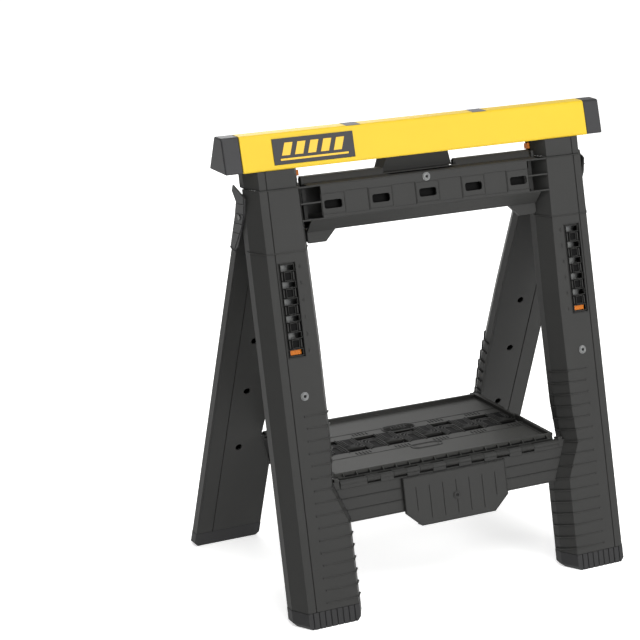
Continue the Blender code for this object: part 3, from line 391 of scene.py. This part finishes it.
# Each ring's height, radius, and how deep the leg is there.
RING, TOP_RIM = (0.563, 0.0011, 0.034), (0.6562, 0.0010, 0.0245)
for side, sign in (("left", -1), ("right", 1)):
    rings = []
    for height, radius, leg_depth in (RING, TOP_RIM):
        s, edge_x = up_slope(height, 0.0, LEAN["front"]), inner_edge(height)
        shoulder = SLANT_DEPTH - 0.001
        outline = [(edge_x - SLANT, leg_depth), (edge_x - SLANT, shoulder), (edge_x, 0.0),
                   (LEG_OUTER, 0.0), (LEG_OUTER + SLANT, shoulder),
                   (LEG_OUTER + SLANT - 0.0004, leg_depth)]
        rings.append(bead([(sign * x, y, s + y * math.tan(LEAN["front"])) for x, y in outline],
                          radius))
    assemble(f"leg_rings_{side}", rings, polypropylene, "front_frame", FRONT_FRAME)


# ---- Ribs of the hinge cheeks -----------------------------------------------
# Four short ribs and a rim moulded on the outside of each outer cheek, in the same
# polyamide, to stiffen the thin plate round its pin.
CHEEK_UP, CHEEK_FACE, CHEEK_RIB_R = 0.6543, 0.3119, 0.0008
SHORT_RIBS, SHORT_RIB_PITCH = 4, 0.017
SHORT_RIB = ((0.0285, -0.034), (0.0515, -0.024))
CHEEK_RIM = ((0.0262, -0.060), (0.0395, -0.060), (0.0535, -0.010), (0.0535, 0.014), (0.0465, 0.036))
for side, sign in (("left", 1), ("right", -1)):
    ribs = [bead([(sign * CHEEK_FACE, y, CHEEK_UP + z + k * SHORT_RIB_PITCH) for y, z in SHORT_RIB],
                 CHEEK_RIB_R) for k in range(SHORT_RIBS)]
    ribs.append(bead([(sign * CHEEK_FACE, y, CHEEK_UP + z) for y, z in CHEEK_RIM], CHEEK_RIB_R))
    assemble(f"hinge_cheek_ribs_{side}", ribs, cheek_plastic, "rear_frame", REAR_FRAME)


# ---- Height ladders ---------------------------------------------------------
# A ladder of six slots is moulded into each front leg, with small framed cells between
# the slots. Raised figures beside it count the positions. Almost black blocks on the
# floor of its recess are painted shade.

# Painted shade: polypropylene in the shade of a recess, so it is drawn almost black.
shade_plastic = moulded("painted_shade_polypropylene", "#0b0b0b", "#080808", 0.7, 0.0012, 0.00008,
                        0.0003, specular=0.1)
SLOTS, STEP, SLOT_HALF, SLOT_INSET = 6, 0.026, 0.0049, 0.003
LADDER, LADDER_MARGIN = (0.2465, 0.2755), 0.0078
CELL_HALF, CELL_GAP, CELL_R = 0.0058, 0.0068, 0.0009
UPRIGHT_X, UPRIGHT_HALF = 0.0098, 0.0010
UPRIGHT_DEPTH, UPRIGHT_EDGE = 0.0018, 0.0003
RECESS, FLOOR_EDGE, FLOOR_GAP, FLOOR_INSET = 0.0017, 0.0001, 0.0046, 0.0002
floor_front, floor_back = RECESS - 0.0003, RECESS + 0.0004
STRIP_INSET, STRIP_HALF, STRIP_END = 0.0016, 0.0014, 0.0006
FIGURE_SIZE, FIGURE_DEPTH, FIGURE_DROP = 0.0085, 0.0005, 0.0025
FIGURE_LEFT_GAP, FIGURE_RIGHT_GAP = 0.005, 0.0095
half = (LADDER[1] - LADDER[0]) / 2
first_slot = up_slope(0.4146, 0.0, LEAN["front"])
low, high = first_slot - LADDER_MARGIN, first_slot + (SLOTS - 1) * STEP + LADDER_MARGIN
for side, sign in (("left", -1), ("right", 1)):
    middle = sign * (LADDER[0] + LADDER[1]) / 2
    shade_blocks = []
    cells = [bead([(middle - half, 0.0, low), (middle + half, 0.0, low),
                   (middle + half, 0.0, high), (middle - half, 0.0, high)], CELL_R, True)]
    for i in range(SLOTS):
        z = first_slot + i * STEP
        slot_low_x, slot_high_x = middle - half + SLOT_INSET, middle + half - SLOT_INSET
        cells.append(bead([(slot_low_x, 0.0001, z - SLOT_HALF), (slot_high_x, 0.0001, z - SLOT_HALF),
                           (slot_high_x, 0.0001, z + SLOT_HALF), (slot_low_x, 0.0001, z + SLOT_HALF)],
                          CELL_R, True))
        if i:
            low_z, high_z = z - STEP + CELL_GAP, z - CELL_GAP
            cells.append(bead([(middle - CELL_HALF, 0.0001, low_z), (middle + CELL_HALF, 0.0001, low_z),
                               (middle + CELL_HALF, 0.0001, high_z),
                               (middle - CELL_HALF, 0.0001, high_z)], CELL_R, True))
            for x in (middle - UPRIGHT_X, middle + UPRIGHT_X):
                cells.append(block((x - UPRIGHT_HALF, 0.0, low_z),
                                   (x + UPRIGHT_HALF, UPRIGHT_DEPTH, high_z), UPRIGHT_EDGE))
            # An almost black block on the recess floor between two slots: painted shade of the recess.
            shade_blocks.append(block((middle - half + FLOOR_INSET, floor_front, z - STEP + FLOOR_GAP),
                                (middle + half - FLOOR_INSET, floor_back, z - FLOOR_GAP),
                                FLOOR_EDGE, 1))
        bpy.ops.object.select_all(action="DESELECT")
        bpy.ops.object.text_add(rotation=(math.pi / 2, 0, 0))
        figure = bpy.context.view_layer.objects.active
        figure.data.body = str(i + 1)
        figure.data.size = FIGURE_SIZE
        figure.data.extrude = FIGURE_DEPTH
        figure.data.resolution_u = 2
        bpy.ops.object.convert(target="MESH")
        figure = bpy.context.view_layer.objects.active
        figure_x = middle - half - FIGURE_RIGHT_GAP if sign > 0 else middle + half + FIGURE_LEFT_GAP
        figure.location = (figure_x, 0.0, z - FIGURE_DROP)
        bpy.ops.object.transform_apply(location=True, rotation=True, scale=True)
        cells.append(figure)
    # Almost black strips down both sides of the recess: painted shade.
    for x in (middle - half + STRIP_INSET, middle + half - STRIP_INSET):
        shade_blocks.append(block((x - STRIP_HALF, floor_front, low + STRIP_END),
                            (x + STRIP_HALF, floor_back, high - STRIP_END), FLOOR_EDGE, 1))
    assemble(f"ladder_cells_{side}", cells, polypropylene, "front_frame", FRONT_FRAME)
    assemble(f"ladder_shade_floor_{side}", shade_blocks, shade_plastic, "front_frame", FRONT_FRAME)


# ---- Screws -----------------------------------------------------------------
# Cold-headed steel screws with a flange, a low dome and a hexagonal socket: passivated
# zinc on the legs and crossbar, and capped in the legs' plastic on the handle.

# Passivated zinc is a slightly darker grey than the posts.
screw_zinc = zinc_steel("passivated_screw_steel", "#747573", "#606163", 0.50)
# The bottom of a socket sees no light, so it is drawn as black plastic.
socket_dark = moulded("dark_socket", "#101010", "#0c0c0c", 0.6, 0.002, 0.00002, 0.0002, specular=0.2)
FLANGE_R, FLANGE_DEPTH, SOCKET_R, SOCKET_DEPTH = 0.0068, 0.0012, 0.0021, 0.0004
# How far each inset goes in and how far it rises: flange, dome in three steps, socket.
HEAD_STEPS = ((0.0011, 0.0), (0.0003, 0.0007), (0.0012, 0.0004), (0.0016, 0.0), (0.0001, -0.0014))


def screw_head(x, face, s):
    """A turned head: flange, dome and socket, about its own axis along the depth."""
    bpy.ops.object.select_all(action="DESELECT")
    bpy.ops.mesh.primitive_cylinder_add(vertices=40, radius=FLANGE_R, depth=FLANGE_DEPTH,
                                        location=(0, 0, FLANGE_DEPTH / 2))
    head = bpy.context.view_layer.objects.active
    bpy.ops.object.mode_set(mode="EDIT")
    bpy.ops.mesh.select_mode(type="FACE")
    bpy.ops.mesh.select_all(action="DESELECT")
    bpy.ops.object.mode_set(mode="OBJECT")
    for facet in head.data.polygons:
        facet.select = facet.normal.z > 0.9
    bpy.ops.object.mode_set(mode="EDIT")
    for thickness, rise in HEAD_STEPS:
        bpy.ops.mesh.inset(thickness=thickness, depth=rise)
    bpy.ops.object.mode_set(mode="OBJECT")
    head.data.transform(Matrix.Translation((x, face, s)) @ Matrix.Rotation(math.pi / 2, 4, "X"))
    return head


for name, x, face, height in (
        ("leg_screw_left", -0.2565, 0.0, 0.348), ("leg_screw_right", 0.2565, 0.0, 0.348),
        ("crossbar_screw", 0.0, 0.0, 0.650), ("handle_screw", 0.0, 0.015, 0.152)):
    s = up_slope(height, face, LEAN["front"])
    capped = name == "handle_screw"
    head = assemble(f"{name}_head", [screw_head(x, face, s)], polypropylene if capped else screw_zinc,
                    "front_frame", FRONT_FRAME)
    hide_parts(name)
    bpy.ops.object.select_all(action="DESELECT")
    bpy.ops.mesh.primitive_cylinder_add(vertices=6, radius=SOCKET_R, depth=SOCKET_DEPTH,
                                        location=(0, 0, 0))
    pit = bpy.context.view_layer.objects.active
    pit.data.transform(Matrix.Translation((x, face - FLANGE_DEPTH, s)) @
                       Matrix.Rotation(math.pi / 2, 4, "X"))
    assemble(f"{name}_socket", [pit], socket_dark, "front_frame", FRONT_FRAME)


# ---- Crossbar trim ----------------------------------------------------------
# Moulded with the upper crossbar: low ribs round its five slots, long fillets above
# and below, a seat under the beam's block, and tabs that meet the legs. A plate
# closes each slot from behind, drawn almost black as painted shade.
SLOT_PITCH, SLOT_HEIGHT = 0.0846, 0.6265
FRAME_HALF, FRAME_BELOW, FRAME_ABOVE = 0.0205, 0.0150, 0.0165
BACK_HALF, BACK_RISE, BACK_FRONT, BACK_REAR = 0.0175, 0.0085, 0.0085, 0.0100
FILLET_END, FILLET_R = 0.2095, 0.0010
SEAT = ((-0.0600, -0.0400, 0.6540), (0.0600, -0.0160, 0.6570))
END_TAB_X, BLOCK_TAB_X, TAB_HEIGHT, TAB_DEPTH = (0.2080, 0.2130), (0.0640, 0.0672), 0.6652, 0.020
slot_s = up_slope(SLOT_HEIGHT, 0.0, LEAN["front"])
trims, backs = [], []
for i in range(-2, 3):
    x = i * SLOT_PITCH
    low_s, high_s = slot_s - FRAME_BELOW, slot_s + FRAME_ABOVE
    trims.append(bead([(x - FRAME_HALF, 0.0003, low_s), (x + FRAME_HALF, 0.0003, low_s),
                       (x + FRAME_HALF, 0.0003, high_s), (x - FRAME_HALF, 0.0003, high_s)],
                      0.0009, True))
    # An almost black plate behind the slot: painted shade.
    backs.append(block((x - BACK_HALF, BACK_FRONT, slot_s - BACK_RISE),
                       (x + BACK_HALF, BACK_REAR, slot_s + BACK_RISE)))
for height, y in ((0.6565, 0.0003), (0.6058, 0.0004)):
    s = up_slope(height, 0.0, LEAN["front"])
    trims.append(bead([(-FILLET_END, y, s), (FILLET_END, y, s)], FILLET_R))
assemble("crossbar_trim", trims, polypropylene, "front_frame", FRONT_FRAME)
assemble("block_seat", [block(*SEAT)], polypropylene, "front_frame")
tabs = []
top_s = up_slope(TAB_HEIGHT, TAB_DEPTH, LEAN["front"])
for sign in (-1, 1):
    near, far = sorted(sign * x for x in END_TAB_X)
    tabs.append(block((near, 0.0150, top_s - 0.0120), (far, 0.0252, top_s)))
    near, far = sorted(sign * x for x in BLOCK_TAB_X)
    tabs.append(block((near, 0.0200, top_s - 0.0090), (far, 0.0283, top_s + 0.0012)))
assemble("crossbar_end_tabs", tabs, polypropylene, "front_frame", FRONT_FRAME)
assemble("crossbar_slot_shade_backs", backs, shade_plastic, "front_frame", FRONT_FRAME)


# ---- Apron and handle trim ---------------------------------------------------
# A rim round the handle's face, rolled edges along the apron's lines, and an ear at
# each end of the apron that meets the leg. All are moulded with the apron.
HANDLE_FACE, HANDLE_DEPTH, HANDLE_SIDE = 0.0151, 0.015, 0.0951
APRON_FACE, APRON_DEPTH = 0.0199, 0.02
HANDLE_RIM = ((-0.094, 0.1915), (-0.094, 0.1384), (-0.0675, 0.1158), (0.0675, 0.1158),
              (0.094, 0.1384), (0.094, 0.1915))
APRON_LINES, LINE_START, LINE_R = (0.1925, 0.1765, 0.1585, 0.1415), 0.0955, 0.0006
EAR_X, EAR_HEIGHT, EAR_DEPTH = (0.2044, 0.2126), 0.2040, 0.021
trims = [bead([(x, HANDLE_FACE, up_slope(z, HANDLE_DEPTH, LEAN["front"])) for x, z in HANDLE_RIM],
              0.0007, True)]
for height in APRON_LINES:
    s = up_slope(height, APRON_DEPTH, LEAN["front"])
    reach = inner_edge(height) - SLANT * 0.8 - 0.002
    for sign in (-1, 1):
        trims.append(bead([(sign * LINE_START, APRON_FACE, s), (sign * reach, APRON_FACE, s)], LINE_R))
        trims.append(bead([(sign * HANDLE_SIDE, 0.0155, s), (sign * HANDLE_SIDE, APRON_FACE, s)],
                          LINE_R))
ear_s = up_slope(EAR_HEIGHT, EAR_DEPTH, LEAN["front"])
for sign in (-1, 1):
    near, far = sorted(sign * x for x in EAR_X)
    trims.append(block((near, 0.0206, ear_s - 0.0040), (far, 0.0330, ear_s + 0.0050)))
assemble("apron_trim", trims, polypropylene, "front_frame", FRONT_FRAME)


# ---- Tray detail ------------------------------------------------------------
# Two leaves moulded in polypropylene, with fingers that pass between each other. Each
# finger is moulded as nested hooks with fine ribs at its root, and shallow pans close
# the slots from below. The pans, the floors under the hooks and the cells of the gutters
# are drawn almost black as painted shade. A pad outline lies on the front leaf and a grip on the rear one.

# A coarser grain than the legs', and a colour painted lighter than theirs for the lamp
# above: painted light on the top. Below the floor the colour is painted darker, as
# painted shade of its own ribs.
tray_plastic = moulded("tray_polypropylene_painted_light_and_shade", "#353533", "#2f2f2d", 0.58, 0.0014, 0.00022,
                       specular=0.25)
tray_shader = tray_plastic.node_tree.nodes["Principled BSDF"]
tray_colour = tray_shader.inputs["Base Color"].links[0].from_socket
tray_place = add_node(tray_plastic, "ShaderNodeTexCoord")
tray_height = add_node(tray_plastic, "ShaderNodeSeparateXYZ", None, {"Vector": (tray_place, "Object")})
# Painted shade: the colour falls to 45 % below the top of the floor.
lit = add_node(tray_plastic, "ShaderNodeMapRange",
               {"From Min": 0.2052, "From Max": 0.2060, "To Min": 0.45, "To Max": 1.0},
               {"Value": (tray_height, "Z")})
shaded = add_node(tray_plastic, "ShaderNodeVectorMath", {"operation": "SCALE"}, {"Scale": (lit, "Result")})
tray_plastic.node_tree.links.new(tray_colour, shaded.inputs[0])
tray_plastic.node_tree.links.new(shaded.outputs["Vector"], tray_shader.inputs["Base Color"])
finish_nodes(["front_tray", "rear_tray"], tray_plastic)

FLOOR_TOP, TRAY_HALF = 0.206, 0.2035
FRONT_AXIS, REAR_AXIS = -0.1415, 0.1205
MIDDLE = (FRONT_AXIS + REAR_AXIS) / 2
FINGERS, FINGER_TIP = 11, 0.013
TRAY_EDGE, PAN_EAVE = 0.1993, 0.005
PAN_REAR, PAN_FRONT, LIP_FRONT, WALL_FRONT = 0.0312, 0.0113, 0.0122, 0.0296
PAN_Z, LIP_Z, WALL_Z = (0.1994, 0.2012), (0.2006, 0.2017), (0.1996, 0.2050)
FINGER_INSET, FINGER_BACK, ROOT_START, ROOT_LENGTH = 0.0018, 0.028, 0.0350, 0.012
ROOT_RIBS, ROOT_RIB_R, HOOK_R = 5, 0.0010, 0.0012
# How far each nested hook lies inside the finger's edge, and how far back it starts.
HOOKS = ((0.0026, 0.030), (0.0070, 0.026), (0.0112, 0.022))
GUTTER_CELLS, GUTTER_HALF, GUTTER_NEAR, GUTTER_FAR, GUTTER_WEB = 16, 0.190, 0.0074, 0.0138, 0.0010
fingers_left = -(TRAY_HALF - 0.004)
finger_width = 2 * (TRAY_HALF - 0.004) / FINGERS
for kind, side, odd, axis in (("front", 1, 1, FRONT_AXIS), ("rear", -1, 0, REAR_AXIS)):
    details, shade_blocks = [], []
    for i in range(FINGERS):
        left = fingers_left + i * finger_width
        centre = left + finger_width / 2
        if i % 2 == odd:
            for inset, back in HOOKS:
                half, tip = finger_width / 2 - inset, MIDDLE + side * (FINGER_TIP - inset + 0.0008)
                bow = min(0.006, half * 0.6)
                track = [(centre - half, MIDDLE - side * back), (centre - half, tip - side * bow),
                         (centre - half + bow, tip), (centre + half - bow, tip),
                         (centre + half, tip - side * bow), (centre + half, MIDDLE - side * back)]
                details.append(bead([(x, y, FLOOR_TOP + 0.0003) for x, y in track], HOOK_R))
            reach = sorted((MIDDLE - side * FINGER_BACK, MIDDLE + side * (FINGER_TIP - FINGER_INSET)))
            # An almost black floor under the hooks: painted shade.
            shade_blocks.append(block((left + FINGER_INSET, reach[0], FLOOR_TOP - 0.0004),
                                (left + finger_width - FINGER_INSET, reach[1], FLOOR_TOP + 0.0002),
                                0.0002, 1))
        else:
            half = finger_width / 2 - 0.002
            near = MIDDLE - side * ROOT_START
            for k in range(ROOT_RIBS):
                x = centre + (k - 2) * half / 2.6
                far = near - side * (ROOT_LENGTH - abs(k - 2) * 0.002)
                details.append(bead([(x, near, FLOOR_TOP + 0.0002), (x, far, FLOOR_TOP + 0.0002)],
                                    ROOT_RIB_R))
            # An almost black pan, lip and wall under the slot: painted shade.
            low_x = max(left - PAN_EAVE, -TRAY_EDGE)
            high_x = min(left + finger_width + PAN_EAVE, TRAY_EDGE)
            pan = sorted((MIDDLE - side * PAN_REAR, MIDDLE - side * PAN_FRONT))
            shade_blocks.append(block((low_x, pan[0], PAN_Z[0]), (high_x, pan[1], PAN_Z[1]), 0.0003))
            lip = sorted((MIDDLE - side * PAN_FRONT, MIDDLE - side * LIP_FRONT))
            shade_blocks.append(block((low_x, lip[0], LIP_Z[0]), (high_x, lip[1], LIP_Z[1]), 0.0001, 1))
            wall = sorted((MIDDLE - side * PAN_REAR, MIDDLE - side * WALL_FRONT))
            shade_blocks.append(block((left + 0.0002, wall[0], WALL_Z[0]),
                                (left + finger_width - 0.0002, wall[1], WALL_Z[1]), 0.0003))
    assemble(f"{kind}_tray_hooks", details, polypropylene, f"{kind}_tray")
    # Almost black cells of the gutter: painted shade.
    gutter = sorted((axis + side * GUTTER_NEAR, axis + side * GUTTER_FAR))
    gutter_pitch = 2 * GUTTER_HALF / GUTTER_CELLS
    for i in range(GUTTER_CELLS):
        x = -GUTTER_HALF + i * gutter_pitch
        shade_blocks.append(block((x + GUTTER_WEB, gutter[0], FLOOR_TOP - 0.0004),
                            (x + gutter_pitch - GUTTER_WEB, gutter[1], FLOOR_TOP + 0.0003),
                            0.0002, 1))
    assemble(f"{kind}_tray_shade_pans", shade_blocks, shade_plastic, f"{kind}_tray")

BORDER_X, BORDER_R, BORDER_FROM_MIDDLE = 0.1935, 0.0010, 0.048
PAD_Y, PAD_HALF, PAD_END, PAD_RISE = -0.0650, 0.017, 0.0115, 0.0095
PAD_INNER_WIDTH, PAD_INNER_RISE = 0.80, 0.70
steps = [math.radians(a) for a in range(0, 360, 15)]
oval = [(PAD_HALF * (1 if math.cos(a) > 0 else -1) + PAD_END * math.cos(a),
         PAD_Y + PAD_RISE * math.sin(a), FLOOR_TOP) for a in steps]
details = [bead(oval, 0.0010, True),
           bead([(x * PAD_INNER_WIDTH, PAD_Y + (y - PAD_Y) * PAD_INNER_RISE, z) for x, y, z in oval],
                0.0007, True)]
near, far = -0.1205, MIDDLE - BORDER_FROM_MIDDLE
border = [(-BORDER_X, near), (BORDER_X, near), (BORDER_X, far), (-BORDER_X, far)]
details.append(bead([(x, y, FLOOR_TOP - 0.0003) for x, y in border], BORDER_R, True))
assemble("front_tray_relief", details, polypropylene, "front_tray")

GRIP_Y, GRIP_HALF, GRIP_R = 0.0270, 0.016, 0.0140
grip = [(GRIP_HALF * (1 if math.cos(a) > 0 else -1) + GRIP_R * math.cos(a),
         GRIP_Y + GRIP_R * math.sin(a), FLOOR_TOP) for a in steps]
details = [bead(grip, 0.0013, True)]
near, far = 0.0995, MIDDLE + BORDER_FROM_MIDDLE
border = [(-BORDER_X, near), (BORDER_X, near), (BORDER_X, far), (-BORDER_X, far)]
details.append(bead([(x, y, FLOOR_TOP - 0.0003) for x, y in border], BORDER_R, True))
assemble("rear_tray_relief", details, polypropylene, "rear_tray")


# ---- Camera, floor and light ----------------------------------------------
# A pale studio floor that glows a little, so that it stays white. Three broad soft
# lamps stand above, to the right and behind, and the surround is dim on the left.
camera_data = bpy.data.cameras.new("camera")
camera_data.lens = 121.76
camera_data.sensor_width = 36.0
camera_data.clip_end = 50.0
camera = bpy.data.objects.new("camera", camera_data)
bpy.context.scene.collection.objects.link(camera)
camera.location = (-1.7119, -2.9113, 1.4070)
aim = Vector((-0.1303, 0.0593, 0.4031)) - camera.location
camera.rotation_mode = "QUATERNION"
camera.rotation_quaternion = aim.to_track_quat("-Z", "Y")
bpy.context.scene.camera = camera

bpy.ops.object.select_all(action="DESELECT")
bpy.ops.mesh.primitive_plane_add(size=60.0, location=(0.0, 0.0, -0.0004))
floor = bpy.context.view_layer.objects.active
floor.name = "floor"
# Matt painted board: white, with no highlight.
pale = bpy.data.materials.new("pale_floor")
pale.use_nodes = True
pale_shader = pale.node_tree.nodes["Principled BSDF"]
pale_shader.inputs["Base Color"].default_value = linear("#f4f4f3")
pale_shader.inputs["Roughness"].default_value = 0.8
pale_shader.inputs["Emission Color"].default_value = linear("#ffffff")
pale_shader.inputs["Emission Strength"].default_value = 0.62
floor.data.materials.append(pale)

world = bpy.data.worlds.new("studio")
world.use_nodes = True
backdrop = world.node_tree.nodes["Background"]
direction = add_node(world, "ShaderNodeTexCoord")
split = add_node(world, "ShaderNodeSeparateXYZ", None, {"Vector": (direction, "Generated")})
sweep = add_node(world, "ShaderNodeMapRange",
                 {"From Min": -0.95, "From Max": 0.2, "To Min": 0.08, "To Max": 0.62},
                 {"Value": (split, "X")})
world.node_tree.links.new(sweep.outputs["Result"], backdrop.inputs["Strength"])
backdrop.inputs["Color"].default_value = linear("#ffffff")
bpy.context.scene.world = world
bpy.context.scene.view_settings.view_transform = "Standard"


def lamp(name, location, size, power):
    """A square soft lamp that looks at the middle of the object."""
    data = bpy.data.lights.new(name, "AREA")
    data.size = size
    data.energy = power
    item = bpy.data.objects.new(name, data)
    bpy.context.scene.collection.objects.link(item)
    item.location = location
    aim_at = Vector((0.0, 0.0, 0.35)) - item.location
    item.rotation_mode = "QUATERNION"
    item.rotation_quaternion = aim_at.to_track_quat("-Z", "Y")


lamp("overhead", (-0.2, -0.9, 2.5), 2.2, 52.0)
lamp("front_right", (1.4, -2.8, 1.3), 1.8, 46.0)
lamp("behind", (0.9, 3.2, 1.9), 1.8, 34.0)
